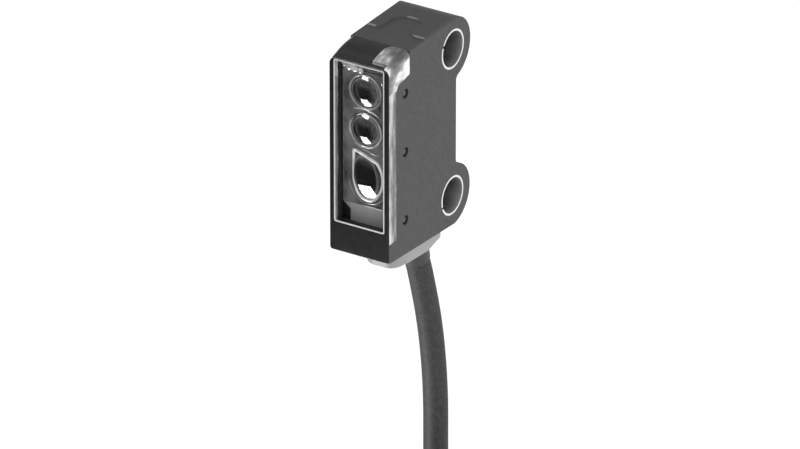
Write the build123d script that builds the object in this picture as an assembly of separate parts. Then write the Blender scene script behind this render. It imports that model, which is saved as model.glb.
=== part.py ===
"""A slim photoelectric sensor with two mounting ears and a 0.3 m lead that ends in an M8 plug.

All sizes are in millimetres. +Z is up, the optical face looks along -Y, and X runs across the
width. The origin is midway between the two mounting holes, in the middle of the width.
"""

import math
import os

from build123d import *

# --- Outside of the sensor ------------------------------------------------------------------
WIDTH = 8.0
HALF_WIDTH = WIDTH / 2
HOLE_SPACING = 18.9
HOLE_Z = HOLE_SPACING / 2
EAR_RADIUS = 3.9
FRONT_Y = -14.15
BACK_Y = 0.75
TOP_Z = HOLE_Z + EAR_RADIUS
CHIN_Z = -12.35  # lower edge of the optical face
HEEL_Z = -TOP_Z  # lowest point of the lower ear
TOP_EDGE_RADIUS = 0.4
SEAM_Y = -9.5  # joint between front frame and housing on the top face
FACE_TOP_Z = 12.42  # upper edge of the optical face
FACE_CORNER_RADIUS = 0.9
CREASE_Y, CREASE_Z = -13.2, 12.65  # where the bevel above the face meets the crown
CROWN_Z = 13.22  # top of the front frame at the seam

# --- Mounting bushes ------------------------------------------------------------------------
BORE_RADIUS = 2.2
BUSH_RADIUS = 2.45
BUSH_SLIT = 0.3
BOSS_RADIUS = 2.95  # plastic left around each bush inside the housing

# --- Walls and fits -------------------------------------------------------------------------
WALL = 0.6
FIT = 0.02  # gap a side between parts that are pushed together
INNER_HALF = HALF_WIDTH - WALL
STEP = 0.06  # the side panels stand this much proud of the strip under them

# --- Optical face ---------------------------------------------------------------------------
MASK_T = 0.15
MASK_BACK_Y = FRONT_Y + MASK_T
PANE_HALF = 3.4  # half width of the opening in the mask
PANE_TOP_Z = 12.25
PANE_BASE_Z = -8.6
LINE_W = 0.15  # light line round the pane
WINDOW_INNER_Y = -13.25
SKIRT_Y = -12.45  # how far back the clear skirt reaches on the sides
WINDOW_BASE_Z = -9.9
CORNER_X = 1.25  # inner edge of the clear indicator corner
CORNER_RADIUS = 1.1
CORNER_BASE_Z = 12.3  # underside of its top

# --- Optics ---------------------------------------------------------------------------------
PLATE_Y = -12.65
PLATE_T = 0.7
PLATE_HALF = 3.12
PLATE_TOP_Z = 10.75
PLATE_BASE_Z = -6.4
RECEIVER_ZS = (8.2, 3.3)
EMITTER_Z = -2.55
LENS_RADIUS = 2.05
LENS_RISE = 0.45
CARRIER_Y = PLATE_Y + PLATE_T + FIT
CARRIER_BACK_Y = -8.6
SENSOR_BOARD_Y = -7.9
BOARD_T = 0.8
BOARD_FACE_X = -1.2  # the side of the main board that carries its parts
CORE_RADIUS = 0.34

# --- Cover pins -----------------------------------------------------------------------------
PIN_Y = -10.45
PIN_ZS = (8.1, 0.6, -8.15)
PIN_RADIUS = 0.4
PIN_HOLE_RADIUS = 0.6

# --- Bottom cap -----------------------------------------------------------------------------
CAP_HALF = 2.75
CAP_UNDER = [(-9.6, -15.6), (-8.3, -15.15), (-3.4, -15.55), (0.3, -14.75)]  # (y, z)

# --- Lead -----------------------------------------------------------------------------------
CABLE_RADIUS = 1.5
EXIT_ANGLE = 20.0  # from straight down, towards the back
EXIT_Y, EXIT_Z = -2.31, -15.55  # where the lead's axis leaves the cap
INNER_END = -0.9  # where the jacket ends inside the cap
RELIEF_LENGTH = 2.6
COIL_RADIUS = 16.5  # to the middle of the turns
TURN_PITCH = 3.2
HANG_Y = 3.05  # the lead hangs straight down here
COIL_X = TURN_PITCH  # the strand that comes down from the sensor stays in the middle, x = 0
COIL_Z = -61.0
COIL_Y = HANG_Y - COIL_RADIUS
PLUG_TOP_Z = COIL_Z - 19.4
PLUG_BORE = 3.4  # how deep the lead goes into the plug

# --- M8 plug --------------------------------------------------------------------------------
THREAD_RADIUS = 4.0
RING_CLEARANCE = 0.12
PIN_OFFSETS = [(dx, dy) for dx in (-1.1, 1.1) for dy in (-1.1, 1.1)]  # the four contacts

PARTS = "parts"


def block(x0, x1, y0, y1, z0, z1):
    """A box between two corners."""
    middle = Pos((x0 + x1) / 2, (y0 + y1) / 2, (z0 + z1) / 2)
    return middle * Box(x1 - x0, y1 - y0, z1 - z0)


def side_prism(points, x0, x1):
    """A prism across the width from an outline of (y, z) points."""
    outline = Plane.YZ * make_face(Polyline(*points, close=True))
    return Pos(x0, 0, 0) * extrude(outline, x1 - x0)


def front_prism(sketch, y0, y1):
    """A prism along Y from a sketch drawn in (x, z)."""
    plane = Plane(origin=(0, y0, 0), x_dir=(1, 0, 0), z_dir=(0, -1, 0))
    return extrude(plane * sketch, -(y1 - y0))


def rod_x(y, z, radius, x0, x1):
    """A round bar across the width."""
    return Plane(origin=(x0, y, z), z_dir=(1, 0, 0)) * extrude(Circle(radius), x1 - x0)


def rod_y(x, z, radius, y0, y1):
    """A round bar along Y."""
    return Plane(origin=(x, y0, z), z_dir=(0, 1, 0)) * extrude(Circle(radius), y1 - y0)


def group(shapes):
    """Several loose solids as one node."""
    return Compound([solid for shape in shapes for solid in shape.solids()])


def direction(angle):
    """The unit vector that leans back by angle degrees from straight down."""
    return Vector(0, math.sin(math.radians(angle)), -math.cos(math.radians(angle)))


def base_z(y):
    """Height of the sloping underside of the housing."""
    return CHIN_Z + (HEEL_Z - CHIN_Z) * (y - FRONT_Y) / -FRONT_Y


# --- Housing --------------------------------------------------------------------------------


def envelope():
    """The outer shape of the whole sensor, front to ears, with soft top edges."""
    drop = math.sqrt(EAR_RADIUS**2 - BACK_Y**2)
    with BuildPart() as body:
        with BuildSketch(Plane.YZ):
            with BuildLine():
                top = Line((SEAM_Y, TOP_Z), (0, TOP_Z))
                upper = ThreePointArc(top @ 1, (EAR_RADIUS, HOLE_Z), (BACK_Y, HOLE_Z - drop))
                back = Line(upper @ 1, (BACK_Y, drop - HOLE_Z))
                lower = ThreePointArc(back @ 1, (EAR_RADIUS, -HOLE_Z), (0, HEEL_Z))
                base = Line(lower @ 1, (SEAM_Y, base_z(SEAM_Y)))
                Line(base @ 1, top @ 0)
            make_face()
        extrude(amount=HALF_WIDTH, both=True)
        inside_corners = body.edges().filter_by(Axis.X).filter_by(
            lambda edge: abs(edge.center().Y - BACK_Y) < FIT and abs(edge.center().Z) < HOLE_Z
        )
        fillet(inside_corners, 0.7)
    height = TOP_Z + 20
    section = Pos(0, TOP_Z - height / 2) * RectangleRounded(WIDTH, height, TOP_EDGE_RADIUS)
    return (body.part & front_prism(section, FRONT_Y, EAR_RADIUS + 1)) + nose()


def nose():
    """The outer shape in front of the seam, where the top falls away to the optical face."""
    with BuildPart() as body:
        with BuildSketch(Plane.YZ):
            with BuildLine():
                bevel = Line((FRONT_Y, FACE_TOP_Z), (CREASE_Y, CREASE_Z))
                crown = ThreePointArc(bevel @ 1, (CREASE_Y + 1.4, 13.03), (SEAM_Y, CROWN_Z))
                rear = Line(crown @ 1, (SEAM_Y, base_z(SEAM_Y)))
                base = Line(rear @ 1, (FRONT_Y, CHIN_Z))
                Line(base @ 1, bevel @ 0)
            make_face()
        extrude(amount=HALF_WIDTH, both=True)
        shoulders = body.edges().filter_by(
            lambda edge: abs(edge.center().X) > HALF_WIDTH - FIT and edge.center().Z > FACE_TOP_Z
        )
        fillet(shoulders, FACE_CORNER_RADIUS - 0.1)
    return body.part


def corner_outline(grow):
    """The (y, z) outline of the clear indicator corner on the side face, grown by grow."""
    rear = SEAM_Y - 0.06 + grow
    return [
        (FRONT_Y, TOP_Z + 1),
        (rear, TOP_Z + 1),
        (rear, 10.25 - grow),
        (rear - 2.5, 9.75 - grow),
        (SKIRT_Y + grow, 9.2 - grow),
        (SKIRT_Y + grow, WINDOW_BASE_Z - grow),
        (FRONT_Y, WINDOW_BASE_Z - grow),
    ]


def corner_column(grow):
    """A column with the rounded plan of the indicator corner, grown by grow."""
    x0, rear = CORNER_X - grow, SEAM_Y - 0.06 + grow
    plan = Pos((x0 + 6) / 2, (rear - 16) / 2) * Rectangle(6 - x0, rear + 16)
    inner_rear = [v for v in plan.vertices() if v.X < 3 and v.Y > -12]
    plan = fillet(inner_rear, CORNER_RADIUS + grow)
    return Pos(0, 0, -20) * extrude(plan, 40)


def housing(shape):
    """The dark grey shell with its ears, open at the front and below."""
    body = shape - block(-5, 5, FRONT_Y - 1, MASK_BACK_Y + FIT, -20, 20)
    body -= block(-5, 5, FRONT_Y, SKIRT_Y + FIT, WINDOW_BASE_Z - FIT, 20)
    body -= block(-5, 5, FRONT_Y, SEAM_Y, 11.5, 20)
    body -= side_prism(corner_outline(0.04), 0, 5)

    cavity = block(-INNER_HALF, INNER_HALF, FRONT_Y, -0.4, -11.3, 12.4)
    cavity -= block(-5, 5, MASK_BACK_Y - 1, SKIRT_Y, -12, WINDOW_BASE_Z + 0.3)
    for z in (HOLE_Z, -HOLE_Z):
        cavity -= rod_x(0, z, BOSS_RADIUS, -5, 5)
        cavity -= block(-5, 5, 0, 1, z - BOSS_RADIUS, z + BOSS_RADIUS)
    for z in (HOLE_Z - 1, 1 - HOLE_Z):
        cavity -= block(-5, 5, -1.6, 1, min(z, 5.4 * z / abs(z)), max(z, 5.4 * z / abs(z)))
    body -= cavity
    body -= cap_plug(FIT)
    for z in (HOLE_Z, -HOLE_Z):
        body -= rod_x(0, z, BUSH_RADIUS, -5, 5)
    for z in PIN_ZS:
        body -= rod_x(PIN_Y, z, PIN_HOLE_RADIUS, -5, 5)
    body -= top_dish()
    for side in (-1, 1):
        body -= side_step(side)
    return body


def top_dish():
    """The shallow dish on the top face: full width in front, a rounded tongue at the back."""
    depth = 0.2
    tongue = Pos(-0.2, -5.6) * RectangleRounded(3.6, 7.0, 1.5)
    front = Pos(0, SEAM_Y + 1.2) * Rectangle(12, 4.4)
    plan = tongue + front
    soft = [v for v in plan.vertices() if abs(v.X) < 3 and abs(v.Y - (SEAM_Y + 3.4)) < 0.1]
    plan = fillet(soft, 0.9)
    return Pos(0, 0, TOP_Z - depth) * extrude(plan, 1, taper=-25)


def side_step(side):
    """What is taken off one side so that its main panel stands a little proud."""
    panel = make_face(
        Polyline(
            (-20, 20),
            (-20, -9.1),
            (-1.9, -11.7),
            (0.4, -13.4),
            (8, -20),
            (8, 20),
            close=True,
        )
    )
    strip = Plane.YZ * (Rectangle(60, 60) - panel)
    x0 = HALF_WIDTH - STEP if side > 0 else -HALF_WIDTH - 1
    return Pos(x0, 0, 0) * extrude(strip, 1 + STEP)


def bush(z, slit_angle):
    """A rolled steel sleeve with its slit, across the full width."""
    sleeve = rod_x(0, z, BUSH_RADIUS - FIT / 4, -HALF_WIDTH, HALF_WIDTH)
    sleeve -= rod_x(0, z, BORE_RADIUS, -5, 5)
    slit = block(-5, 5, -3, 0, -BUSH_SLIT / 2, BUSH_SLIT / 2)
    return sleeve - Pos(0, 0, z) * Rot(X=slit_angle) * slit


# --- Front of the sensor --------------------------------------------------------------------


def face_sketch():
    """Outline of the optical face in (x, z)."""
    height = FACE_TOP_Z - CHIN_Z
    plate = Pos(0, (FACE_TOP_Z + CHIN_Z) / 2) * Rectangle(WIDTH, height)
    top = plate.vertices().filter_by(lambda v: v.Y > 0)
    plate = fillet(top, FACE_CORNER_RADIUS)
    low = plate.vertices().filter_by(lambda v: v.Y < CHIN_Z + 0.1)
    return fillet(low, 0.45)


def pane_sketch(inset, radius=0.25):
    """The rounded rectangle of the pane, inset by inset, in (x, z)."""
    height = PANE_TOP_Z - PANE_BASE_Z - 2 * inset
    middle = Pos(0, (PANE_TOP_Z + PANE_BASE_Z) / 2)
    return middle * RectangleRounded(2 * (PANE_HALF - inset), height, radius)


def front_mask():
    """The black border round the pane, with a softened outer edge."""
    plate = front_prism(face_sketch(), FRONT_Y, MASK_BACK_Y)
    rim = plate.faces().sort_by(Axis.Y)[0].edges()
    plate = fillet(rim, 0.1)
    return plate - front_prism(pane_sketch(0), FRONT_Y - 1, MASK_BACK_Y + 1)


def frame_line():
    """The light line that edges the pane."""
    ring = front_prism(pane_sketch(0), FRONT_Y, MASK_BACK_Y)
    return ring - front_prism(pane_sketch(LINE_W, 0.15), FRONT_Y - 1, MASK_BACK_Y + 1)


def front_window(shape):
    """The clear moulding: the pane, thin side skirts and the indicator corner."""
    pane = front_prism(pane_sketch(LINE_W, 0.15), FRONT_Y + 0.03, WINDOW_INNER_Y)
    plate = block(-5, 5, MASK_BACK_Y, WINDOW_INNER_Y, WINDOW_BASE_Z, 12.3)
    skirts = block(-5, 5, MASK_BACK_Y, SKIRT_Y, WINDOW_BASE_Z, 12.3)
    skirts -= block(-INNER_HALF - 0.05, INNER_HALF + 0.05, FRONT_Y, 0, -20, 20)
    corner = side_prism(corner_outline(0), CORNER_X, 5) & corner_column(0)
    corner -= block(-5, 5, FRONT_Y - 1, MASK_BACK_Y, -20, 20)
    corner -= block(-5, INNER_HALF, WINDOW_INNER_Y, 0, -20, CORNER_BASE_Z)
    return (pane + plate + skirts + corner) & shape


def front_frame(shape):
    """The black frame behind the window: glossy top cap, side rails and sill."""
    rear = SEAM_Y - FIT
    cap = shape & block(-5, CORNER_X + CORNER_RADIUS, MASK_BACK_Y, rear, 12.32, 20)
    cap -= corner_column(0.06)
    cap += shape & block(-5, -INNER_HALF - FIT, SKIRT_Y + 2 * FIT, rear, 11.52, 20)
    cap -= block(-5, -2.6, rear - 0.25, rear + 1, 12.0, 20)
    cap += block(-INNER_HALF + FIT, CORNER_X - 0.06, SKIRT_Y + 0.3, rear, 12.05, 12.5)
    half = INNER_HALF - FIT
    rails = block(-half, half, PLATE_Y, rear, WINDOW_BASE_Z + 0.4, 12.3)
    rails -= block(-PLATE_HALF - FIT, PLATE_HALF + FIT, FRONT_Y, 0, -8.9, 12.05)
    rails -= block(CORNER_X, 5, FRONT_Y, 0, 12.0, 20)
    return cap + rails


def window_seal():
    """The rubber bead between the window and the front frame."""
    outer = block(
        -INNER_HALF + FIT, INNER_HALF - FIT, WINDOW_INNER_Y, PLATE_Y - FIT, -9.5, 12.28
    )
    return outer - block(-3.2, 3.2, FRONT_Y, 0, -8.75, 12.02)


def cover_pins():
    """Six pins on the front frame that snap into the housing."""
    pins = []
    for z in PIN_ZS:
        for side in (-1, 1):
            pin = rod_x(PIN_Y, z, PIN_RADIUS, side * (INNER_HALF - FIT), side * (HALF_WIDTH - 0.15))
            tip = pin.edges().sort_by(Axis.X)[-1 if side > 0 else 0]
            pins.append(fillet(tip, 0.15))
    return group(pins)


# --- Optics ---------------------------------------------------------------------------------


def emitter_sketch(grow):
    """The pick-shaped outline of the emitter lens in (x, z)."""
    with BuildSketch() as sketch:
        with BuildLine():
            top = Line((-1.5, 0.45), (1.5, -0.65))
            side = ThreePointArc(top @ 1, (2.15, -2.6), (1.6, -4.6))
            foot = ThreePointArc(side @ 1, (0.3, -5.55), (-1.1, -4.6))
            heel = Line(foot @ 1, (-1.5, -3.2))
            Line(heel @ 1, top @ 0)
        make_face()
    return offset(sketch.sketch, grow, kind=Kind.INTERSECTION) if grow else sketch.sketch


def lens_outlines(grow):
    """The outlines of the three lenses in (x, z), grown by grow."""
    round_ones = [Pos(0, z) * Circle(LENS_RADIUS + grow) for z in RECEIVER_ZS]
    return [*round_ones, emitter_sketch(grow)]


def lens(index):
    """A plano-convex lens from its outline and a sphere."""
    outline = lens_outlines(-FIT)[index]
    half = (LENS_RADIUS, LENS_RADIUS, 2.9)[index]
    middle = ((0, RECEIVER_ZS[0]), (0, RECEIVER_ZS[1]), (0.35, EMITTER_Z))[index]
    rise = LENS_RISE
    radius = (half**2 + rise**2) / (2 * rise)
    ball = Pos(middle[0], PLATE_Y - rise + radius, middle[1]) * Sphere(radius)
    return front_prism(outline, PLATE_Y - 1, PLATE_Y + PLATE_T) & ball


def lens_plate():
    """The clear plate that holds the lenses, with a raised rim round each."""
    body = block(-PLATE_HALF, PLATE_HALF, PLATE_Y, PLATE_Y + PLATE_T, PLATE_BASE_Z, PLATE_TOP_Z)
    for outline in lens_outlines(0.28):
        body += front_prism(outline, PLATE_Y - 0.12, PLATE_Y + 0.1)
    for outline in lens_outlines(0):
        body -= front_prism(outline, PLATE_Y - 1, PLATE_Y + 2)
    return body & block(-PLATE_HALF, PLATE_HALF, -20, 20, -20, 20)


def diffuser_panel():
    """The pale panel under the lens plate."""
    plan = make_face(
        Polyline(
            (-PLATE_HALF, PLATE_BASE_Z - 0.1),
            (-2.1, -7.3),
            (-2.1, -8.85),
            (PLATE_HALF, -8.85),
            (PLATE_HALF, PLATE_BASE_Z - 0.1),
            close=True,
        )
    )
    return front_prism(plan, PLATE_Y + 0.05, PLATE_Y + PLATE_T)


def optics_carrier():
    """The black block with one light tunnel behind each lens."""
    body = block(-PLATE_HALF, PLATE_HALF, CARRIER_Y, CARRIER_BACK_Y, -8.85, PLATE_TOP_Z)
    for z in RECEIVER_ZS:
        body -= rod_y(0, z, LENS_RADIUS - 0.25, CARRIER_Y - 1, CARRIER_BACK_Y + 1)
    return body - front_prism(emitter_sketch(-0.25), CARRIER_Y - 1, CARRIER_BACK_Y + 1)


def aperture_plate():
    """Thin black-plated sheet with a slit for each channel."""
    plate = block(-PLATE_HALF, PLATE_HALF, CARRIER_BACK_Y, CARRIER_BACK_Y + 0.15, -8.85, PLATE_TOP_Z)
    for z in (*RECEIVER_ZS, EMITTER_Z):
        plate -= block(-0.5, 0.5, CARRIER_BACK_Y - 1, CARRIER_BACK_Y + 1, z - 0.9, z + 0.9)
    return plate


def light_guide():
    """The clear bar that carries the indicator light to the corner."""
    bar = block(-2.4, 2.85, -13.0, -12.15, 11.05, 11.95)
    arms = block(1.6, 2.85, -12.2, SENSOR_BOARD_Y - 0.55, 11.05, 11.95)
    arms += block(-2.4, -1.3, -12.2, SENSOR_BOARD_Y - 0.55, 11.05, 11.95)
    guide = bar + arms
    return fillet(guide.edges().filter_by(Axis.Y), 0.2)


# --- Electronics ----------------------------------------------------------------------------


def chip(x, z, wide, high, y0, y1):
    """A small package on a board that faces the front or the back."""
    return block(x - wide / 2, x + wide / 2, y0, y1, z - high / 2, z + high / 2)


def sensor_board():
    """The board behind the optics, with clipped lower corners."""
    board = block(-3.1, 3.1, SENSOR_BOARD_Y, SENSOR_BOARD_Y + BOARD_T, -9.2, 12.2)
    return chamfer(board.edges().filter_by(Axis.Y), 0.4)


def receivers():
    """The two photodiode packages behind the receiver lenses."""
    return group(
        [chip(0, z, 2.4, 2.8, SENSOR_BOARD_Y - 0.5, SENSOR_BOARD_Y) for z in RECEIVER_ZS]
    )


def emitter_led():
    """The emitter package with its small dome."""
    base = chip(0.2, EMITTER_Z, 1.8, 1.8, SENSOR_BOARD_Y - 0.3, SENSOR_BOARD_Y)
    dome = Pos(0.2, SENSOR_BOARD_Y - 0.3, EMITTER_Z) * Sphere(0.4)
    return base + (dome & block(-5, 5, -20, SENSOR_BOARD_Y - 0.3, -20, 20))


def shield_can():
    """The folded screening can on the back of the sensor board."""
    back = SENSOR_BOARD_Y + BOARD_T
    can = block(-2.6, 2.6, back, back + 1.5, 1.2, 10.2)
    can = fillet(can.edges().filter_by(Axis.Y), 0.35)
    return can - block(-2.45, 2.45, back - 1, back + 1.35, 1.35, 10.05)


def main_board():
    """The processing board, which stands along the middle of the rear chamber."""
    return block(BOARD_FACE_X - BOARD_T, BOARD_FACE_X, -5.3, -0.7, -5.2, 5.2)


def link_pins():
    """The four pins that join the two boards."""
    return group(
        [rod_y(-1.6, z, 0.22, SENSOR_BOARD_Y + BOARD_T, -5.3) for z in (-4.4, -3.1, -1.8, -0.5)]
    )


def capacitors():
    """Small ceramic capacitors on the main board."""
    return group(
        [
            block(BOARD_FACE_X, BOARD_FACE_X + 0.5, y, y + 0.6, 3.6, 4.7)
            for y in (-5.0, -4.1, -3.2, -2.3, -1.4)
        ]
    )


# --- Cap, strain relief and lead ------------------------------------------------------------


def cap_plug(gap):
    """The part of the cap inside the housing, grown by gap."""
    plug = block(-2.2 - gap, 2.2 + gap, -8.9 - gap, -1.2 + gap, -14.0, -11.2 + gap)
    return plug - rod_x(0, -HOLE_Z, BOSS_RADIUS + 0.1 - gap, -5, 5)


def exit_point(along):
    """A point on the lead's straight first stretch, measured from where it leaves the cap."""
    return Vector(0, EXIT_Y, EXIT_Z) + direction(EXIT_ANGLE) * along


def exit_rod(radius, start, end):
    """A round bar along the lead's first stretch."""
    plane = Plane(origin=exit_point(start), z_dir=direction(EXIT_ANGLE))
    return plane * extrude(Circle(radius), end - start)


def bottom_cap():
    """The pale cap that closes the housing and holds the lead."""
    front, rear = CAP_UNDER[0][0], CAP_UNDER[-1][0]
    outline = [(rear, base_z(rear) - FIT), (front, base_z(front) - FIT), *CAP_UNDER]
    slab = side_prism(outline, -CAP_HALF, CAP_HALF)
    plan = Pos(0, (front + rear) / 2) * Rectangle(2 * CAP_HALF, rear - front)
    corners = plan.vertices().sort_by(Axis.Y)
    plan = fillet(corners[:2], 2.0)
    plan = fillet(plan.vertices().sort_by(Axis.Y)[-2:], 1.2)
    slab &= Pos(0, 0, -18) * extrude(plan, 10)
    joint = 0.2
    plug = cap_plug(0) & side_prism(
        [(-10, base_z(-10) - joint), (-10, -11), (0, -11), (0, base_z(0) - joint)], -5, 5
    )
    return slab + plug - exit_rod(CABLE_RADIUS + FIT, -6, 4)


def strain_relief():
    """The tapered collar round the lead under the cap."""
    length = RELIEF_LENGTH + 0.9
    plane = Plane(origin=exit_point(RELIEF_LENGTH - length), z_dir=direction(EXIT_ANGLE))
    outer = plane * extrude(Circle(1.85), length, taper=3.8)
    below = side_prism([*CAP_UNDER, (CAP_UNDER[-1][0], -30), (CAP_UNDER[0][0], -30)], -5, 5)
    return (outer & below) - exit_rod(CABLE_RADIUS + FIT, -5, RELIEF_LENGTH + 1)


def hanging_route():
    """Corners of the lead from inside the cap to the coil, as it hangs."""
    return [
        exit_point(INNER_END),
        Vector(0, -0.45, -20.65),
        Vector(0, 1.75, -28.4),
        Vector(0.1, 2.78, -37.0),
        Vector(-0.05, 3.05, -45.6),
        Vector(-0.1, 3.15, -53.4),
        Vector(0, HANG_Y, COIL_Z),
    ]


def tail_route():
    """Corners of the lead from the coil to the plug."""
    return [
        Vector(2 * COIL_X, HANG_Y, COIL_Z),
        Vector(6.32, HANG_Y, COIL_Z - 4.4),
        Vector(5.5, HANG_Y, COIL_Z - 9.8),
        Vector(COIL_X, HANG_Y, COIL_Z - 16.6),
        Vector(COIL_X, HANG_Y, PLUG_TOP_Z - PLUG_BORE),
    ]


def corner_radii(points):
    """The largest arc that each corner's two runs allow."""
    radii = []
    for a, b, c in zip(points, points[1:], points[2:]):
        turn = math.radians((b - a).get_angle(c - b))
        radii.append(0.45 * min((b - a).length, (c - b).length) / math.tan(turn / 2))
    return radii


def lead_tube(points):
    """A round tube along straight runs joined by tangent arcs."""
    radii = corner_radii(points)
    path = FilletPolyline(*points, radius=radii)
    tube = sweep(Plane(origin=path @ 0, z_dir=path % 0) * Circle(CABLE_RADIUS), path=path)
    expected = math.pi * CABLE_RADIUS**2 * path.length
    print("lead radii", [round(r, 1) for r in radii], "length", round(path.length, 1),
          "volume share", round(tube.volume / expected, 4))
    return tube


def coil():
    """The outer shape of the neat coil, on its side in the plane of the ears."""
    section = Pos(0, COIL_RADIUS) * RectangleRounded(
        2 * (TURN_PITCH + CABLE_RADIUS), 2 * CABLE_RADIUS + 0.3, 1.4
    )
    ring = revolve(Plane.XY * section, Axis.X)
    return Pos(COIL_X, COIL_Y, COIL_Z) * ring


def coil_tie():
    """The strap round the turns where the lead enters and leaves the coil."""
    gap, thick, high = 0.1, 0.6, 2.4
    half = TURN_PITCH + CABLE_RADIUS + gap
    deep = CABLE_RADIUS + 0.15 + gap
    inner = Rectangle(2 * half, 2 * deep)
    outer = RectangleRounded(2 * (half + thick), 2 * (deep + thick), 0.9)
    strap = extrude(outer - inner, high)
    head = Pos(1.2, deep + thick + 0.75, 1.2) * Box(3.4, 1.7, 3.4)
    return Pos(COIL_X, HANG_Y, COIL_Z - high / 2) * (strap + head)


# --- M8 plug, drawn from its cable end (s = 0) downwards --------------------------------------


def turned(profile):
    """A turned part from (radius, s) points, hung on the plug's axis."""
    face = Plane.XZ * make_face(Polyline(*[(r, -s) for r, s in profile], close=True))
    return Pos(COIL_X, HANG_Y, PLUG_TOP_Z) * revolve(face, Axis.Z)


def plug_grip():
    """The moulded grip with its ribbed bend relief and finger flutes."""
    body = turned([(0, 0), (2.1, 0), (3.4, 8), (4.4, 10), (4.4, 22.5), (4.0, 23.5), (0, 23.5)])
    for s in (1.6, 3.4, 5.2):
        body -= turned([(0.9 + s / 6 + 1.2, s), (9, s), (9, s + 0.9), (0.9 + s / 6 + 1.2, s + 0.9)])
    flute = Pos(4.9, 0, PLUG_TOP_Z - 16.2) * Cylinder(1.0, 10)
    for k in range(8):
        body -= Pos(COIL_X, HANG_Y, 0) * Rot(Z=45 * k) * flute
    bore = Pos(COIL_X, HANG_Y, PLUG_TOP_Z) * Cylinder(CABLE_RADIUS + FIT, 2 * PLUG_BORE)
    return body - bore


def contact_insert():
    """The contact carrier with the flange that keeps the screw ring on."""
    body = turned([(0, 23.5), (3.1, 23.5), (3.1, 26.0), (3.5, 26.0), (3.5, 27.0), (3.1, 27.0),
                   (3.1, 31.0), (0, 31.0)])
    key = Pos(COIL_X, HANG_Y + 2.75, PLUG_TOP_Z - 33.0) * Box(0.8, 0.5, 4.0)
    body += key
    for dx, dy in PIN_OFFSETS:
        body -= Pos(COIL_X + dx, HANG_Y + dy, PLUG_TOP_Z - 29) * Cylinder(0.5 + FIT, 6)
    return body


def contact_pins():
    """Four gold-plated contacts with bevelled tips."""
    profile = [(0, 26.7), (0.5, 26.7), (0.5, 35.0), (0.42, 35.2), (0.25, 35.3), (0, 35.3)]
    return group([Pos(dx, dy, 0) * turned(profile) for dx, dy in PIN_OFFSETS])


def screw_ring():
    """The knurled ring with the M8 thread, which turns on the contact carrier."""
    inner = 3.1 + RING_CLEARANCE
    groove = 3.5 + RING_CLEARANCE
    body = turned([
        (inner, 23.7), (4.3, 23.7), (4.75, 24.1), (4.75, 29.0), (4.3, 29.4), (3.6, 29.4),
        (3.6, 30.2), (THREAD_RADIUS, 30.2), (THREAD_RADIUS, 36.0), (THREAD_RADIUS - 0.4, 36.4),
        (inner, 36.4), (inner, 27.0 + RING_CLEARANCE), (groove, 27.0 + RING_CLEARANCE),
        (groove, 26.0 - RING_CLEARANCE), (inner, 26.0 - RING_CLEARANCE),
    ])
    teeth = 24
    notch = Pos(4.95, 0, PLUG_TOP_Z - 26.6) * Rot(Z=45) * Box(0.6, 0.6, 7)
    for k in range(teeth):
        body -= Pos(COIL_X, HANG_Y, 0) * Rot(Z=360 / teeth * k) * notch
    return body


def core(index):
    """One insulated wire from the end of the lead's jacket to its pad on the main board."""
    dx, dy = ((-0.6, -0.5), (0.6, -0.5), (-0.6, 0.5), (0.6, 0.5))[index]
    lean = math.radians(EXIT_ANGLE)
    start = exit_point(INNER_END - FIT) + Vector(dx, dy * math.cos(lean), dy * math.sin(lean))
    pad_x = BOARD_FACE_X + CORE_RADIUS + FIT
    pad_y = -5.05 + 0.95 * index
    points = [
        start,
        start - direction(EXIT_ANGLE) * 3.2,
        Vector(dx, -4.4 + dy, -9.4),
        Vector(pad_x, pad_y, -6.0),
        Vector(pad_x, pad_y, -3.4),
    ]
    path = FilletPolyline(*points, radius=0.9)
    return sweep(Plane(origin=path @ 0, z_dir=path % 0) * Circle(CORE_RADIUS), path=path)


def build():
    """Every node of the sensor, by name."""
    shape = envelope()
    back = SENSOR_BOARD_Y + BOARD_T
    nodes = {
        "housing": housing(shape),
        "upper_bush": bush(HOLE_Z, -27),
        "lower_bush": bush(-HOLE_Z, 20),
        "front_mask": front_mask(),
        "frame_line": frame_line(),
        "front_window": front_window(shape),
        "front_frame": front_frame(shape),
        "window_seal": window_seal(),
        "cover_pins": cover_pins(),
        "lens_plate": lens_plate(),
        "receiver_lens_upper": lens(0),
        "receiver_lens_lower": lens(1),
        "emitter_lens": lens(2),
        "diffuser_panel": diffuser_panel(),
        "optics_carrier": optics_carrier(),
        "aperture_plate": aperture_plate(),
        "light_guide": light_guide(),
        "sensor_board": sensor_board(),
        "receiver_diodes": receivers(),
        "emitter_led": emitter_led(),
        "indicator_led_yellow": chip(2.25, 11.5, 1.1, 0.7, SENSOR_BOARD_Y - 0.5, SENSOR_BOARD_Y),
        "indicator_led_green": chip(-1.85, 11.5, 1.0, 0.7, SENSOR_BOARD_Y - 0.5, SENSOR_BOARD_Y),
        "shield_can": shield_can(),
        "amplifier_chip": chip(0, 5.6, 3.0, 3.0, back, back + 0.8),
        "main_board": main_board(),
        "processor_chip": block(BOARD_FACE_X, BOARD_FACE_X + 0.8, -4.6, -1.4, -2.6, 2.2),
        "capacitors": capacitors(),
        "link_pins": link_pins(),
        "bottom_cap": bottom_cap(),
        "strain_relief": strain_relief(),
        "cable_hanging": lead_tube(hanging_route()),
        "cable_coil": coil(),
        "cable_tail": lead_tube(tail_route()),
        "coil_tie": coil_tie(),
        "plug_grip": plug_grip(),
        "contact_insert": contact_insert(),
        "contact_pins": contact_pins(),
        "screw_ring": screw_ring(),
    }
    for index, colour in enumerate(("brown", "blue", "black", "white")):
        nodes[f"core_{colour}"] = core(index)
    return nodes


os.makedirs(PARTS, exist_ok=True)
for name, solid in build().items():
    export_step(solid, f"{PARTS}/{name}.step")
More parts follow.
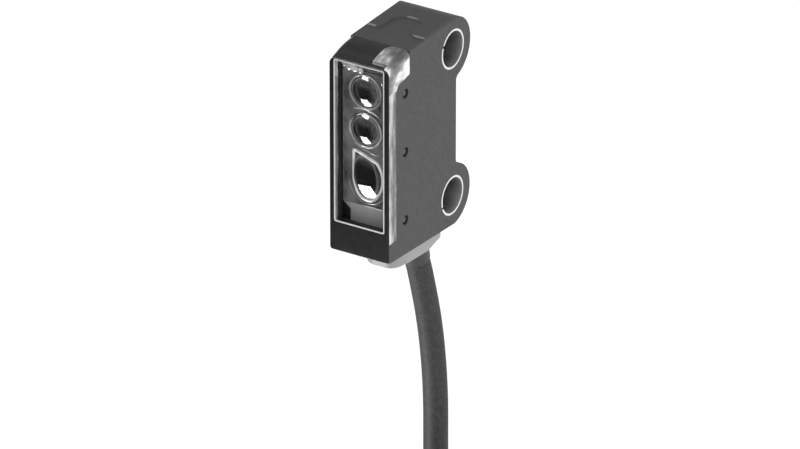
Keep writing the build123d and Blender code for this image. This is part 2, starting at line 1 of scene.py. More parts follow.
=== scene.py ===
"""The looks of the slim photoelectric sensor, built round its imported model.

Everything is in metres, in the frame of the model: +Z is up, the optical face looks along -Y,
and the origin is midway between the two mounting holes.
"""

import math

import bmesh
import bpy
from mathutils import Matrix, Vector


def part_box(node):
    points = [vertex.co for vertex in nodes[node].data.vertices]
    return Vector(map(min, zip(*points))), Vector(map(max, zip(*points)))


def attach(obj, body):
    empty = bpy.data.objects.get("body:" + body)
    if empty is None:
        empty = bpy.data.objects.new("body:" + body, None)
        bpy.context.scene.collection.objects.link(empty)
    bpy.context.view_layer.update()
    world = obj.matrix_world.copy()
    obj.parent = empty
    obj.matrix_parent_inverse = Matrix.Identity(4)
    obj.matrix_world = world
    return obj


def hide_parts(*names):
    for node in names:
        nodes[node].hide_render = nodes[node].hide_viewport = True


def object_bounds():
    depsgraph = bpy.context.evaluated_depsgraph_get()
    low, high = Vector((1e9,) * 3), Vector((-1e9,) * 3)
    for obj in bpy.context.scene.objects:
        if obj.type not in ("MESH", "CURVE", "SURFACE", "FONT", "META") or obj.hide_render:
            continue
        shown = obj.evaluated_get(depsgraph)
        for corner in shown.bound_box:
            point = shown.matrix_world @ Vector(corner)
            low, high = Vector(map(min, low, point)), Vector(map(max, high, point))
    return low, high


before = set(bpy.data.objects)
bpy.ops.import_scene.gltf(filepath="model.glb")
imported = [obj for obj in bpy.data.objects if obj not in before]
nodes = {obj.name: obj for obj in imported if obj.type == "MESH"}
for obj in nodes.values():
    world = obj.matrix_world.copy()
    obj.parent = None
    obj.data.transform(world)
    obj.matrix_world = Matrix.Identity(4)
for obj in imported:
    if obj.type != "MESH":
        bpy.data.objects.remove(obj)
cad_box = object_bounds()

MM = 0.001

# --- Sizes that the pieces below share ------------------------------------------------------
FACE_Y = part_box("front_mask")[0].y
PLATE_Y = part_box("lens_plate")[0].y + 0.12 * MM  # front of the lens plate behind its raised rims
UPPER_LENS = (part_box("receiver_lens_upper")[0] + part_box("receiver_lens_upper")[1]) / 2
LOWER_LENS = (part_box("receiver_lens_lower")[0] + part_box("receiver_lens_lower")[1]) / 2
LENS_RADIUS = 2.03 * MM
LENS_RISE = 0.45 * MM
PANE_HALF = 3.4 * MM
GUIDE_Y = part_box("light_guide")[0].y
HOLE_Z = (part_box("upper_bush")[0].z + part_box("upper_bush")[1].z) / 2
BORE_RADIUS = 2.2 * MM
HALF_WIDTH = 4.0 * MM
CORNER_Z = 9.2 * MM  # the window's clear indicator corner starts here
CORNER_SIZE = 4.0 * MM
SKIRT_DEPTH = 1.7 * MM

# --- Lead: the same route as the model's, with the coil's turns made by a loop ----------------
CABLE_DIAMETER = 3.0 * MM
EXIT = Vector((0, -2.31, -15.55)) * MM
EXIT_ANGLE = math.radians(20)
HANG_Y = 3.05
COIL_Z = -61.0
COIL_RADIUS = 16.5
COIL_Y = HANG_Y - COIL_RADIUS
COIL_TURNS = 2
POINTS_PER_TURN = 16
TURN_PITCH = 3.2
PLUG_TOP_Z = COIL_Z - 19.4

# --- Camera ---------------------------------------------------------------------------------
AZIMUTH = math.radians(31.5)
ELEVATION = math.radians(27)
VIEW_WIDTH = 92.2 * MM
LENS_LENGTH = 400.0
TARGET = Vector((3.94, -11.57, -8.25)) * MM
TO_CAMERA = Vector((
    math.sin(AZIMUTH) * math.cos(ELEVATION),
    -math.cos(AZIMUTH) * math.cos(ELEVATION),
    math.sin(ELEVATION),
))


# --- Materials ------------------------------------------------------------------------------


class Nodes:
    """A short way to write a material's node tree."""

    def __init__(self, name):
        self.material = bpy.data.materials.new(name)
        self.material.use_nodes = True
        self.tree = self.material.node_tree
        self.tree.nodes.clear()
        self.output = self.tree.nodes.new("ShaderNodeOutputMaterial")

    def new(self, kind, **sockets):
        node = self.tree.nodes.new("ShaderNode" + kind)
        for name, value in sockets.items():
            self.set(node, name.replace("_", " "), value)
        return node

    def set(self, node, name, value):
        if isinstance(value, bpy.types.NodeSocket):
            self.tree.links.new(value, node.inputs[name])
        else:
            node.inputs[name].default_value = value

    def math(self, operation, a, b=0.0, clamp=False):
        node = self.tree.nodes.new("ShaderNodeMath")
        node.operation = operation
        node.use_clamp = clamp
        self.set(node, 0, a)
        self.set(node, 1, b)
        return node.outputs[0]

    def noise(self, scale, detail=3.0, stretch=(1, 1, 1), rough=0.5):
        coord = self.tree.nodes.new("ShaderNodeTexCoord").outputs["Object"]
        mapping = self.tree.nodes.new("ShaderNodeMapping")
        mapping.inputs["Scale"].default_value = stretch
        self.tree.links.new(coord, mapping.inputs["Vector"])
        noise = self.new("TexNoise", Scale=scale, Detail=detail, Roughness=rough)
        self.tree.links.new(mapping.outputs[0], noise.inputs["Vector"])
        return noise.outputs["Fac"]

    def ramp(self, fac, stops):
        node = self.tree.nodes.new("ShaderNodeValToRGB")
        elements = node.color_ramp.elements
        while len(elements) < len(stops):
            elements.new(0.5)
        for element, (place, colour) in zip(elements, stops):
            element.position = place
            element.color = grey(colour) if isinstance(colour, (int, float)) else (*colour, 1)
        self.set(node, "Fac", fac)
        return node.outputs["Color"]

    def bump(self, height, strength, distance):
        node = self.new("Bump", Strength=strength, Distance=distance)
        self.set(node, "Height", height)
        return node.outputs["Normal"]

    def mix(self, share, first, second):
        node = self.tree.nodes.new("ShaderNodeMixShader")
        self.set(node, "Fac", share)
        self.tree.links.new(first, node.inputs[1])
        self.tree.links.new(second, node.inputs[2])
        return node.outputs[0]

    def blend_colours(self, share, first, second):
        node = self.tree.nodes.new("ShaderNodeMix")
        node.data_type = "RGBA"
        self.tree.links.new(share, node.inputs["Factor"])
        self.tree.links.new(first, node.inputs["A"])
        self.tree.links.new(second, node.inputs["B"])
        return node.outputs["Result"]

    def polish(self, ior):
        """How much an outer surface mirrors; nothing on the inner side of a clear piece."""
        mirror = self.new("Fresnel", IOR=ior).outputs[0]
        inner = self.tree.nodes.new("ShaderNodeNewGeometry").outputs["Backfacing"]
        return self.math("MULTIPLY", mirror, self.math("SUBTRACT", 1.0, inner))

    def position(self):
        """The x, y and z sockets of the place on the piece, in metres."""
        coord = self.tree.nodes.new("ShaderNodeTexCoord").outputs["Object"]
        split = self.tree.nodes.new("ShaderNodeSeparateXYZ")
        self.tree.links.new(coord, split.inputs[0])
        return split.outputs

    def finish(self, shader):
        self.tree.links.new(shader, self.output.inputs["Surface"])
        return self.material


def grey(value):
    """A neutral colour of that linear brightness."""
    return (value, value, value, 1)


def plastic(name, colour, rough, spread=0.12, mottle=900, grain=9000, bump=0.25, specular=0.5,
            coat=0.0, metallic=0.0, stretch=(1, 1, 1)):
    """Moulded plastic, rubber or metal: mottled colour and gloss, with a fine surface grain."""
    n = Nodes(name)
    base = colour if not isinstance(colour, (int, float)) else (colour,) * 3
    low = tuple(c * (1 - spread) for c in base)
    high = tuple(min(1.0, c * (1 + spread)) for c in base)
    cloud = n.noise(mottle, 4.0, stretch)
    tint = n.ramp(cloud, ((0.3, low), (0.7, high)))
    fine = n.noise(grain, 2.0, stretch)
    sheen = n.ramp(n.noise(mottle * 2.3, 3.0, stretch), ((0.3, rough * 0.9), (0.7, rough * 1.1)))
    shader = n.new("BsdfPrincipled", Metallic=metallic)
    n.set(shader, "Base Color", tint)
    n.set(shader, "Roughness", sheen)
    n.set(shader, "Specular IOR Level", specular)
    n.set(shader, "Coat Weight", coat)
    n.set(shader, "Normal", n.bump(fine, bump, 0.00002))
    return n.finish(shader.outputs[0])


def clear(name, colour, alpha, rough=0.05, ior=1.55, spread=0.15, mottle=900):
    """Clear or smoky polymer: partly see-through, with a polished surface."""
    n = Nodes(name)
    low = colour * (1 - spread)
    high = min(1.0, colour * (1 + spread))
    tint = n.ramp(n.noise(mottle, 3.0), ((0.3, low), (0.7, high)))
    body = n.new("BsdfPrincipled", Alpha=alpha, Roughness=0.4)
    n.set(body, "Specular IOR Level", 0.0)
    n.set(body, "Base Color", tint)
    gloss = n.new("BsdfGlossy", Roughness=rough)
    n.set(gloss, "Normal", n.bump(n.noise(mottle * 1.7, 2.0), 0.12, 0.00003))
    return n.finish(n.mix(n.polish(ior), body.outputs[0], gloss.outputs[0]))


def window_material():
    """Clear polymer: see-through in the pane; in skirts and corner, painted light and shade stand in for
    light caught in the clear plastic.
    """
    n = Nodes("window_clear")
    x, y, z = n.position()
    off_side = n.math("GREATER_THAN", n.math("ABSOLUTE", x), PANE_HALF - 0.1 * MM)
    behind = n.math("GREATER_THAN", y, FACE_Y + 0.95 * MM)
    edge = n.math("MAXIMUM", off_side, behind)

    pane = n.new("BsdfTransparent", Color=grey(0.95))
    gloss = n.new("BsdfGlossy", Roughness=0.03)
    n.set(gloss, "Normal", n.bump(n.noise(350, 2.0), 0.03, 0.00003))
    pane_mix = n.mix(n.polish(1.28), pane.outputs[0], gloss.outputs[0])

    # Skirts and corner: painted light. Bright streaks and facets are painted into the base colour; the
    # facet noise also makes a real bump.
    corner = n.math("GREATER_THAN", z, CORNER_Z)
    facet_highlights_and_relief = n.noise(1.0, 3.0, (520, 260, 420), 0.5)
    streak_highlights = n.noise(1.0, 4.0, (700, 1100, 260), 0.6)
    # Painted shade: the skirt's streaks darken with distance behind the front face.
    depth = n.math("DIVIDE", n.math("SUBTRACT", y, FACE_Y), SKIRT_DEPTH, clamp=True)
    streak_highlights = n.math("SUBTRACT", n.math("ADD", streak_highlights, 0.16), n.math("MULTIPLY", depth, 0.26))
    # Painted shade: the corner darkens towards its top rear.
    rise = n.math("DIVIDE", n.math("SUBTRACT", z, CORNER_Z), CORNER_SIZE, clamp=True)
    back = n.math("DIVIDE", n.math("SUBTRACT", y, FACE_Y), CORNER_SIZE, clamp=True)
    shade = n.math("MULTIPLY", n.math("MULTIPLY", rise, back), 0.22)
    facet_highlights_and_relief = n.math("SUBTRACT", n.math("ADD", facet_highlights_and_relief, 0.07), shade)
    corner_painted_light = n.ramp(facet_highlights_and_relief, ((0.30, 0.06), (0.42, 0.16), (0.50, 0.34), (0.56, 0.80), (0.64, 1.0)))
    strip_painted_light = n.ramp(streak_highlights, ((0.38, 0.08), (0.54, 0.30), (0.66, 0.55), (0.76, 0.97)))
    body = n.new("BsdfPrincipled", Alpha=0.86, Roughness=0.10, IOR=1.5)
    n.set(body, "Base Color", n.blend_colours(corner, strip_painted_light, corner_painted_light))
    n.set(body, "Coat Weight", 0.4)
    n.set(body, "Normal", n.bump(facet_highlights_and_relief, 0.6, 0.00015))
    return n.finish(n.mix(edge, pane_mix, body.outputs[0]))


def bush_material():
    """Rolled steel: bright cut ends and a darker, drawn inside, with painted shade that deepens towards the
    middle of the bore.
    """
    n = Nodes("bush_steel")
    x, y, z = n.position()
    up = n.math("SUBTRACT", n.math("ABSOLUTE", z), HOLE_Z)
    out = n.math("SQRT", n.math("ADD", n.math("MULTIPLY", y, y), n.math("MULTIPLY", up, up)))
    inside = n.math("LESS_THAN", out, BORE_RADIUS + 0.03 * MM)
    drawn = n.noise(1.0, 3.0, (700, 1500, 1500))
    # Painted shade: darkest midway along the bore and lighter towards both ends; the drawn noise adds a
    # streaky steel tone.
    reach = n.math("DIVIDE", n.math("ABSOLUTE", x), HALF_WIDTH)
    draw_marks_and_bore_shade = n.math("ADD", reach, n.math("MULTIPLY", n.math("SUBTRACT", drawn, 0.5), 0.25))
    bore_tone_and_shade = n.ramp(draw_marks_and_bore_shade, ((0.38, 0.14), (0.66, 0.30), (0.88, 0.58), (1.0, 0.80)))
    end_tint = n.ramp(n.noise(5000, 2.0), ((0.3, 0.72), (0.7, 0.86)))
    shader = n.new("BsdfPrincipled", Metallic=0.85, Roughness=0.38)
    n.set(shader, "Base Color", n.blend_colours(inside, end_tint, bore_tone_and_shade))
    n.set(shader, "Normal", n.bump(drawn, 0.10, 0.00001))
    return n.finish(shader.outputs[0])


def paint(names, material):
    """Gives CAD nodes that material."""
    for name in names:
        mesh = nodes[name].data
        mesh.materials.clear()
        mesh.materials.append(material)


def paint_nodes():
    """A procedural material for every CAD node; nodes of one plastic share it."""
    housing = plastic("housing_grey", 0.037, 0.52, spread=0.05, grain=9000, bump=0.16)
    gloss = plastic("gloss_black", 0.013, 0.14, spread=0.15, grain=2500, bump=0.03, specular=0.35)
    board = plastic("board_green", (0.02, 0.09, 0.04), 0.35, spread=0.2, coat=0.3)
    chip = plastic("chip_black", 0.02, 0.45, spread=0.2)
    paint(["housing"], housing)
    paint(["front_mask", "front_frame"], gloss)
    paint(["frame_line"], plastic("line_light", 0.50, 0.35, spread=0.12, mottle=1500))
    paint(["front_window"], window_material())
    paint(["window_seal"], plastic("seal_black", 0.02, 0.6))
    paint(["cover_pins"], plastic("pin_dark", 0.05, 0.4))
    paint(["upper_bush", "lower_bush"], bush_material())
    paint(["lens_plate"], clear("plate_smoky", 0.17, 0.80, rough=0.12, spread=0.65, mottle=330))
    paint(["diffuser_panel"], plastic("panel_grey", 0.27, 0.25, spread=0.15, mottle=300, coat=0.3))
    paint(["optics_carrier"], plastic("carrier_black", 0.012, 0.6))
    paint(["aperture_plate"], plastic("aperture_black", 0.02, 0.35, metallic=1.0))
    paint(["light_guide"], clear("guide_clear", 0.13, 0.9, rough=0.08, spread=0.8, mottle=900))
    paint(["sensor_board", "main_board"], board)
    paint(["receiver_diodes", "amplifier_chip", "processor_chip"], chip)
    paint(["emitter_led"], plastic("emitter_red", (0.35, 0.05, 0.03), 0.15))
    paint(["indicator_led_yellow"], plastic("led_yellow", (0.75, 0.55, 0.08), 0.3))
    paint(["indicator_led_green"], plastic("led_green", (0.1, 0.5, 0.12), 0.3))
    paint(["shield_can"], plastic("can_tin", 0.55, 0.3, metallic=1.0))
    paint(["capacitors"], plastic("capacitor_tan", (0.32, 0.22, 0.13), 0.5))
    gold = plastic("contact_gold", (0.75, 0.5, 0.2), 0.2, metallic=1.0, bump=0.05)
    paint(["link_pins", "contact_pins"], gold)
    for name, colour in (
        ("brown", (0.12, 0.05, 0.02)),
        ("blue", (0.02, 0.08, 0.35)),
        ("black", (0.012, 0.012, 0.012)),
        ("white", (0.75, 0.75, 0.75)),
    ):
        paint([f"core_{name}"], plastic(f"wire_{name}", colour, 0.4))
    paint(["bottom_cap"], plastic("cap_grey", 0.30, 0.42, spread=0.06, bump=0.15))
    paint(["strain_relief"], plastic("relief_grey", 0.045, 0.5, spread=0.10, mottle=1800, specular=0.3))
    paint(["coil_tie"], plastic("tie_black", 0.02, 0.4))
    paint(["plug_grip"], plastic("grip_black", 0.02, 0.5, bump=0.4))
    paint(["contact_insert"], plastic("insert_black", 0.02, 0.4))
    paint(["screw_ring"], plastic("ring_nickel", 0.62, 0.22, metallic=1.0, bump=0.06))


# --- Mesh helpers ---------------------------------------------------------------------------


def mesh_piece(name, vertices, faces, material):
    """A smooth mesh object that rides on the sensor."""
    mesh = bpy.data.meshes.new(name)
    mesh.from_pydata([tuple(v) for v in vertices], [], faces)
    built = bmesh.new()
    built.from_mesh(mesh)
    bmesh.ops.recalc_face_normals(built, faces=built.faces)
    built.to_mesh(mesh)
    built.free()
    mesh.shade_smooth()
    mesh.materials.append(material)
    piece = bpy.data.objects.new(name, mesh)
    bpy.context.scene.collection.objects.link(piece)
    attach(piece, "root")
    return piece


def arc(start, middle, end, count):
    """Points along the circle through three (x, z) points, without the last one."""
    (ax, az), (bx, bz), (cx, cz) = start, middle, end
    d = 2 * (ax * (bz - cz) + bx * (cz - az) + cx * (az - bz))
    a2, b2, c2 = ax * ax + az * az, bx * bx + bz * bz, cx * cx + cz * cz
    ox = (a2 * (bz - cz) + b2 * (cz - az) + c2 * (az - bz)) / d
    oz = (a2 * (cx - bx) + b2 * (ax - cx) + c2 * (bx - ax)) / d
    radius = math.hypot(ax - ox, az - oz)
    a0, a1, a2 = (math.atan2(z - oz, x - ox) for x, z in (start, middle, end))
    turn = (a2 - a0) % math.tau
    if (a1 - a0) % math.tau > turn:
        turn -= math.tau
    angles = [a0 + turn * k / count for k in range(count)]
    return [(ox + radius * math.cos(a), oz + radius * math.sin(a)) for a in angles]


def line(start, end, count):
    """Evenly spaced points from start, without the end."""
    return [
        (start[0] + (end[0] - start[0]) * k / count, start[1] + (end[1] - start[1]) * k / count)
        for k in range(count)
    ]


def circle(centre, radius, count=72):
    """Points round a circle in (x, z)."""
    angles = [math.tau * k / count for k in range(count)]
    return [(centre[0] + radius * math.cos(a), centre[1] + radius * math.sin(a)) for a in angles]


def pick_outline():
    """The outline of the emitter lens in (x, z): sharp at its top left, round below."""
    corner, shoulder, hip, foot, heel = (-1.5, 0.45), (1.5, -0.65), (1.6, -4.6), (-1.1, -4.6), (-1.5, -3.2)
    points = line(corner, shoulder, 14)
    points += arc(shoulder, (2.2, -2.6), hip, 20)
    points += arc(hip, (0.3, -5.55), foot, 18)
    points += line(foot, heel, 6)
    points += line(heel, corner, 16)
    return [(x * MM, z * MM) for x, z in points]


def dome(name, outline, centre, front_y, curve_radius, depth, material, rings=18):
    """A lens: a spherical front over any outline, and a straight wall behind it."""
    vertices, faces = [], []
    count = len(outline)
    for ring in range(rings):
        share = 1 - ring / rings
        for x, z in outline:
            dx, dz = (x - centre[0]) * share, (z - centre[1]) * share
            back = curve_radius - math.sqrt(curve_radius**2 - dx * dx - dz * dz)
            vertices.append((centre[0] + dx, front_y + back, centre[1] + dz))
    vertices.append((centre[0], front_y, centre[1]))
    apex = len(vertices) - 1
    for ring in range(rings - 1):
        for k in range(count):
            a, b = ring * count + k, ring * count + (k + 1) % count
            faces.append((a, b, b + count, a + count))
    last = (rings - 1) * count
    faces += [(last + k, last + (k + 1) % count, apex) for k in range(count)]
    wall = len(vertices)
    vertices += [(x, front_y + depth, z) for x, z in outline]
    faces += [(k, wall + k, wall + (k + 1) % count, (k + 1) % count) for k in range(count)]
    faces.append(tuple(wall + k for k in range(count)))
    piece = mesh_piece(name, vertices, faces, material)
    sharpen(piece, 40)
    return piece


def sharpen(piece, degrees):
    """Marks edges sharper than that angle, so that flat faces shade flat."""
    built = bmesh.new()
    built.from_mesh(piece.data)
    limit = math.radians(degrees)
    for edge in built.edges:
        edge.smooth = not (len(edge.link_faces) == 2 and edge.calc_face_angle(0) > limit)
    built.to_mesh(piece.data)
    built.free()


def bead(name, outline, y, width, height, material, sides=12):
    """A rounded bead along a closed (x, z) outline, at depth y."""
    vertices, faces = [], []
    count = len(outline)
    for k in range(count):
        (ax, az), (bx, bz) = outline[k - 1], outline[(k + 1) % count]
        length = math.hypot(bx - ax, bz - az)
        nx, nz = (bz - az) / length, -(bx - ax) / length
        x, z = outline[k]
        for s in range(sides):
            a = math.tau * s / sides
            reach = width * math.cos(a)
            vertices.append((x + nx * reach, y + height * math.sin(a), z + nz * reach))
    for k in range(count):
        for s in range(sides):
            a, b = k * sides + s, k * sides + (s + 1) % sides
            c = ((k + 1) % count) * sides
            faces.append((a, b, c + (s + 1) % sides, c + s))
    return mesh_piece(name, vertices, faces, material)


def grown(outline, amount):
    """The outline moved outwards by amount."""
    count = len(outline)
    area = sum(
        outline[k - 1][0] * outline[k][1] - outline[k][0] * outline[k - 1][1] for k in range(count)
    )
    side = amount if area > 0 else -amount
    moved = []
    for k in range(count):
        (ax, az), (bx, bz) = outline[k - 1], outline[(k + 1) % count]
        length = math.hypot(bx - ax, bz - az)
        x, z = outline[k]
        moved.append((x + (bz - az) / length * side, z - (bx - ax) / length * side))
    return moved


# --- Optics ---------------------------------------------------------------------------------


def lens_material(name, centre, half_wide, half_high, squint=0.0):
    """A clear lens with painted light and shade: a black pupil painted where its tunnel looks dark, and a
    painted bright ring towards the rim.
    """
    n = Nodes(name)
    x, y, z = n.position()
    across = n.math("DIVIDE", n.math("SUBTRACT", x, centre[0]), half_wide)
    up = n.math("DIVIDE", n.math("SUBTRACT", z, centre[1]), half_high)
    lean = n.math("ADD", across, n.math("MULTIPLY", up, squint))
    out = n.math("SQRT", n.math("ADD", n.math("MULTIPLY", lean, lean), n.math("MULTIPLY", up, up)))
    wobble = n.math("MULTIPLY", n.math("SUBTRACT", n.noise(700, 3.0), 0.5), 0.25)
    reach = n.math("ADD", out, wobble)
    # Painted light and shade: a near-black pupil, a painted bright ring near the rim, and darker again at
    # the very edge.
    glow = n.ramp(reach, ((0.70, 0.010), (0.78, 0.04), (0.86, 0.16), (0.94, 0.08), (1.0, 0.03)))
    body = n.new("BsdfPrincipled", Alpha=0.93, Roughness=0.3)
    n.set(body, "Specular IOR Level", 0.0)
    n.set(body, "Base Color", glow)
    gloss = n.new("BsdfGlossy", Roughness=0.02)
    n.set(gloss, "Normal", n.bump(n.noise(500, 2.0), 0.04, 0.00003))
    return n.finish(n.mix(n.polish(1.75), body.outputs[0], gloss.outputs[0]))


def ribbon(name, points, width, material):
    """A slim bead along an open run of (x, z) points in millimetres, pointed at both ends."""
    sides, vertices, faces = 10, [], []
    depth = PLATE_Y - 0.04 * MM
    count = len(points)
    for k, (x, z) in enumerate(points):
        (ax, az), (bx, bz) = points[max(k - 1, 0)], points[min(k + 1, count - 1)]
        length = math.hypot(bx - ax, bz - az)
        nx, nz = (bz - az) / length, -(bx - ax) / length
        reach = width * math.sin(math.pi * (0.08 + 0.84 * k / (count - 1)))
        for s in range(sides):
            a = math.tau * s / sides
            across = reach * math.cos(a)
            vertices.append(((x + nx * across) * MM, depth + reach * math.sin(a) * MM,
                             (z + nz * across) * MM))
    for k in range(count - 1):
        for s in range(sides):
            a, b = k * sides + s, k * sides + (s + 1) % sides
            faces.append((a, b, b + sides, a + sides))
    faces += [tuple(range(sides)), tuple((count - 1) * sides + s for s in range(sides))]
    piece = mesh_piece(name, vertices, faces, material)


def make_plate_details():
    """Moulded ridges of the lens plate: its edges, and the curved lands between the lenses; the bright
    ridges and the short dashes carry painted highlights.
    """
    # Painted highlight: the bright ridge plastic stands in for light caught on the plate's ridges.
    bright = plastic("ridge_painted_highlight", 0.42, 0.2, spread=0.7, mottle=500, bump=0.1, coat=0.6)
    soft = plastic("ridge_soft", 0.16, 0.25, spread=0.6, mottle=500, bump=0.1, coat=0.4)
    left, right = -3.02, 3.0
    ribbon("ridge_left", line((left, 10.6), (left, -6.3), 24), 0.05, soft)
    ribbon("ridge_top", line((left, 10.62), (-1.2, 10.62), 12), 0.07, bright)
    ribbon("ridge_right", line((right, 10.5), (right, -6.3), 24), 0.05, soft)
    ribbon("ridge_base", line((-0.6, -6.42), (2.9, -6.42), 16), 0.07, bright)
    ribbon("land_high", arc((-1.6, 5.75), (0.2, 5.95), (1.9, 5.2), 20), 0.13, bright)
    ribbon("land_side", arc((1.5, 5.6), (2.45, 4.2), (2.35, 2.2), 20), 0.07, soft)
    ribbon("land_low", arc((-1.9, 1.6), (-0.2, 0.85), (2.0, 0.35), 20), 0.09, soft)
    ribbon("land_round", arc((-2.25, -2.6), (-1.5, -5.2), (0.8, -6.1), 26), 0.10, soft)
    ribbon("land_tail", arc((0.2, -6.05), (1.6, -5.7), (2.5, -4.6), 18), 0.08, bright)
    ribbon("land_right", arc((2.3, -0.2), (2.75, -2.4), (2.5, -4.4), 20), 0.09, soft)
    # Painted glints: short bright dashes on the plate.
    for k, (x, z) in enumerate(((2.3, 9.6), (2.55, 8.6), (2.5, 7.2), (2.6, 5.7), (2.4, 0.2), (2.65, -0.7))):
        ribbon(f"painted_glint_{k}", line((x - 0.18, z + 0.2), (x + 0.15, z - 0.15), 5), 0.09, bright)


def make_guide_end():
    """The lumpy end of the light guide behind the top of the window, with painted light: its bright colour
    stands in for the light it catches.
    """
    # Painted light: the lumps' bright colour stands in for light the guide catches.
    painted_guide_light = plastic("guide_painted_light", 0.50, 0.12, spread=0.7, mottle=900, bump=0.2, coat=0.7)
    lumps = ((-2.62, 11.45, 0.50), (-1.95, 11.2, 0.60), (-1.2, 11.05, 0.52), (-0.5, 10.95, 0.42))
    for k, (x, z, reach) in enumerate(lumps):
        rows, sides, vertices, faces = 8, 16, [], []
        for r in range(1, rows):
            lift, ring = math.cos(math.pi * r / rows), math.sin(math.pi * r / rows)
            for s in range(sides):
                a = math.tau * s / sides
                lump = reach * (1 + 0.12 * math.sin(3 * a + k))
                vertices.append(((x + lump * ring * math.cos(a)) * MM,
                                 GUIDE_Y - 0.22 * MM * lift, (z + lump * ring * math.sin(a)) * MM))
        for r in range(rows - 2):
            for s in range(sides):
                a, b = r * sides + s, r * sides + (s + 1) % sides
                faces.append((a, b, b + sides, a + sides))
        faces += [tuple(range(sides)), tuple((rows - 2) * sides + s for s in range(sides))]
        mesh_piece(f"guide_end_{k}", vertices, faces, painted_guide_light)


def make_optics():
    """The three lenses and the rims moulded round them; the rims' bright colour is a painted highlight."""
    # Painted highlight: the rims' light, mottled colour stands in for light caught in the clear plastic.
    rim = plastic("rim_painted_highlight", 0.28, 0.15, spread=0.9, mottle=420, bump=0.1, coat=0.7)
    round_curve = (LENS_RADIUS**2 + LENS_RISE**2) / (2 * LENS_RISE)
    front = PLATE_Y - LENS_RISE
    depth = 1.15 * MM
    for name, middle in (("upper", UPPER_LENS), ("lower", LOWER_LENS)):
        centre = (middle.x, middle.z)
        glass = lens_material(f"lens_glass_{name}", centre, LENS_RADIUS, LENS_RADIUS)
        lens = dome(f"lens_{name}", circle(centre, LENS_RADIUS), centre, front, round_curve, depth, glass)
        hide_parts(f"receiver_lens_{name}")
        ring = bead(f"lens_rim_{name}", circle(centre, LENS_RADIUS + 0.10 * MM), PLATE_Y - 0.02 * MM,
                    0.16 * MM, 0.17 * MM, rim)
    outline = pick_outline()
    half = 2.9 * MM
    pick_curve = (half**2 + LENS_RISE**2) / (2 * LENS_RISE)
    middle = (0.35 * MM, -2.55 * MM)
    glass = lens_material("lens_glass_emitter", (0.1 * MM, -2.5 * MM), 1.9 * MM, 2.8 * MM, 0.15)
    lens = dome("lens_emitter", grown(outline, -0.02 * MM), middle, front, pick_curve, depth, glass)
    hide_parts("emitter_lens")
    # Painted highlight: the emitter rim is near-white for light caught in its clear edge.
    bright = plastic("rim_white_painted_highlight", 0.75, 0.12, spread=0.35, mottle=900, bump=0.1, coat=0.8)
    ring = bead("lens_rim_emitter", grown(outline, 0.10 * MM), PLATE_Y - 0.02 * MM,
                0.20 * MM, 0.20 * MM, bright)


# --- Lead -----------------------------------------------------------------------------------


def lead_route():
    """Control points of the lead, from inside the cap, down, twice round the coil, to the plug."""
    lean = Vector((0, math.sin(EXIT_ANGLE), -math.cos(EXIT_ANGLE)))
    start = EXIT / MM
    points = [
        start,
        Vector((0, -0.45, -20.65)),
        Vector((0, 1.75, -28.4)),
        Vector((0.1, 2.78, -37.0)),
        Vector((-0.05, 3.05, -45.6)),
        Vector((-0.1, 3.15, -53.4)),
        Vector((0, HANG_Y, COIL_Z)),
    ]
    points.insert(1, start + lean * 2.4)
    step = math.tau / POINTS_PER_TURN
    radius = COIL_RADIUS / math.cos(step / 2)
    count = COIL_TURNS * POINTS_PER_TURN
    for k in range(count):
        angle = (k + 0.5) * step
        x = COIL_TURNS * TURN_PITCH * (k + 0.5) / count
        points.append(Vector((x, COIL_Y + radius * math.cos(angle), COIL_Z - radius * math.sin(angle))))
    points += [
        Vector((COIL_TURNS * TURN_PITCH, HANG_Y, COIL_Z)),
        Vector((6.32, HANG_Y, COIL_Z - 4.4)),
        Vector((5.5, HANG_Y, COIL_Z - 9.8)),
        Vector((TURN_PITCH, HANG_Y, COIL_Z - 16.6)),
        Vector((TURN_PITCH, HANG_Y, PLUG_TOP_Z - 3.4)),
    ]
    return [p * MM for p in points]


def make_lead():
    """The lead as one smooth curve, with its matt jacket."""
    curve = bpy.data.curves.new("lead", "CURVE")
    curve.dimensions = "3D"
    spline = curve.splines.new("NURBS")
    route = lead_route()
    spline.points.add(len(route) - 1)
    for point, place in zip(spline.points, route):
        point.co = (*place, 1)
    spline.order_u = 3
    spline.use_endpoint_u = True
    spline.resolution_u = 10
    curve.bevel_depth = CABLE_DIAMETER / 2
    curve.bevel_resolution = 8
    curve.use_fill_caps = True
    jacket = plastic("jacket_grey", 0.040, 0.60, spread=0.30, mottle=2600, grain=6000, bump=0.35,
                     specular=0.2)
    curve.materials.append(jacket)
    lead = bpy.data.objects.new("lead", curve)
    bpy.context.scene.collection.objects.link(lead)
    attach(lead, "root")
    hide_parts("cable_hanging", "cable_coil", "cable_tail")


# --- Studio ---------------------------------------------------------------------------------


def softbox(name, direction, distance, width, height, radiance, diffuse=True):
    """An area light that looks at the optics from that direction."""
    light = bpy.data.lights.new(name, "AREA")
    light.shape = "RECTANGLE"
    light.size, light.size_y = width, height
    light.energy = radiance * math.pi * width * height
    lamp = bpy.data.objects.new(name, light)
    bpy.context.scene.collection.objects.link(lamp)
    aim = Vector((0, FACE_Y, 3 * MM))
    lamp.location = aim + Vector(direction).normalized() * distance
    lamp.rotation_mode = "QUATERNION"
    lamp.rotation_quaternion = (aim - lamp.location).to_track_quat("-Z", "Y")
    lamp.visible_camera = False
    lamp.visible_diffuse = diffuse


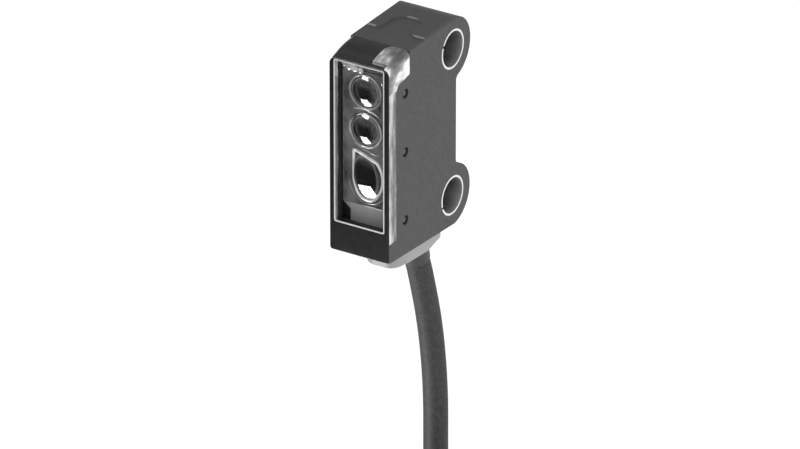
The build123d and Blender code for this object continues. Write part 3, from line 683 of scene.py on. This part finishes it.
def flag(name, aim, direction, distance, width, height, glow):
    """A dark card with a soft, lighter edge that only polished surfaces see, to keep them dark."""
    mesh = bpy.data.meshes.new(name)
    w, h = width / 2, height / 2
    mesh.from_pydata([(-w, -h, 0), (w, -h, 0), (w, h, 0), (-w, h, 0)], [], [(0, 1, 2, 3)])
    n = Nodes(name)
    x, y, z = n.position()
    along = n.math("ABSOLUTE", n.math("DIVIDE", x, w))
    up = n.math("ABSOLUTE", n.math("DIVIDE", y, h))
    fade = n.ramp(n.math("MAXIMUM", along, up), ((0.55, glow), (1.0, 0.85)))
    mesh.materials.append(n.finish(n.new("Emission", Color=fade).outputs[0]))
    card = bpy.data.objects.new(name, mesh)
    bpy.context.scene.collection.objects.link(card)
    card.location = aim + Vector(direction).normalized() * distance
    card.rotation_mode = "QUATERNION"
    card.rotation_quaternion = (aim - card.location).to_track_quat("Z", "Y")
    card.visible_camera = card.visible_diffuse = card.visible_shadow = False
    card.visible_transmission = False


def make_studio():
    """A white surround, a pale floor below the hanging plug, three softboxes and two dark cards."""
    scene = bpy.context.scene
    scene.view_settings.view_transform = "Standard"
    world = bpy.data.worlds.new("surround")
    world.use_nodes = True
    world.node_tree.nodes["Background"].inputs["Color"].default_value = (1, 1, 1, 1)
    world.node_tree.nodes["Background"].inputs["Strength"].default_value = 1.0
    scene.world = world

    floor_z = cad_box[0].z - 2 * MM
    half = 3.0
    mesh = bpy.data.meshes.new("floor")
    mesh.from_pydata(
        [(-half, -half, floor_z), (half, -half, floor_z), (half, half, floor_z), (-half, half, floor_z)],
        [], [(0, 1, 2, 3)],
    )
    n = Nodes("floor_pale")
    shader = n.new("BsdfPrincipled", Roughness=0.8)
    n.set(shader, "Base Color", grey(0.85))
    n.set(shader, "Emission Color", grey(1.0))
    n.set(shader, "Emission Strength", 0.2)
    mesh.materials.append(n.finish(shader.outputs[0]))
    floor = bpy.data.objects.new("floor", mesh)
    scene.collection.objects.link(floor)

    softbox("key", (-0.4655, -0.852, 0.26), 0.5, 0.17, 0.11, 45, diffuse=False)
    softbox("fill_right", (0.92, -0.25, 0.15), 0.6, 0.35, 0.5, 1.25)
    softbox("low_card", (-0.43, -0.48, -0.766), 0.10, 0.034, 0.032, 32, diffuse=False)
    off_face = (-TO_CAMERA.x, TO_CAMERA.y, -TO_CAMERA.z)
    off_top = (-TO_CAMERA.x, -TO_CAMERA.y, TO_CAMERA.z)
    flag("flag_face", Vector((0, FACE_Y, 0)), off_face, 0.12, 0.110, 0.095, 0.08)
    flag("flag_top", Vector((0, -23 * MM, 13 * MM)), off_top, 0.10, 0.11, 0.10, 0.42)


def make_camera():
    """The camera, far off with a long lens, so that uprights stay upright."""
    data = bpy.data.cameras.new("camera")
    data.sensor_width = 36.0
    data.lens = LENS_LENGTH
    camera = bpy.data.objects.new("camera", data)
    bpy.context.scene.collection.objects.link(camera)
    distance = VIEW_WIDTH * LENS_LENGTH / data.sensor_width
    camera.location = TARGET + TO_CAMERA * distance
    camera.rotation_mode = "QUATERNION"
    camera.rotation_quaternion = (-TO_CAMERA).to_track_quat("-Z", "Y")
    data.clip_start, data.clip_end = distance / 100, distance * 20
    bpy.context.scene.camera = camera


make_camera()
make_lead()
paint_nodes()
make_optics()
make_plate_details()
make_guide_end()
make_studio()
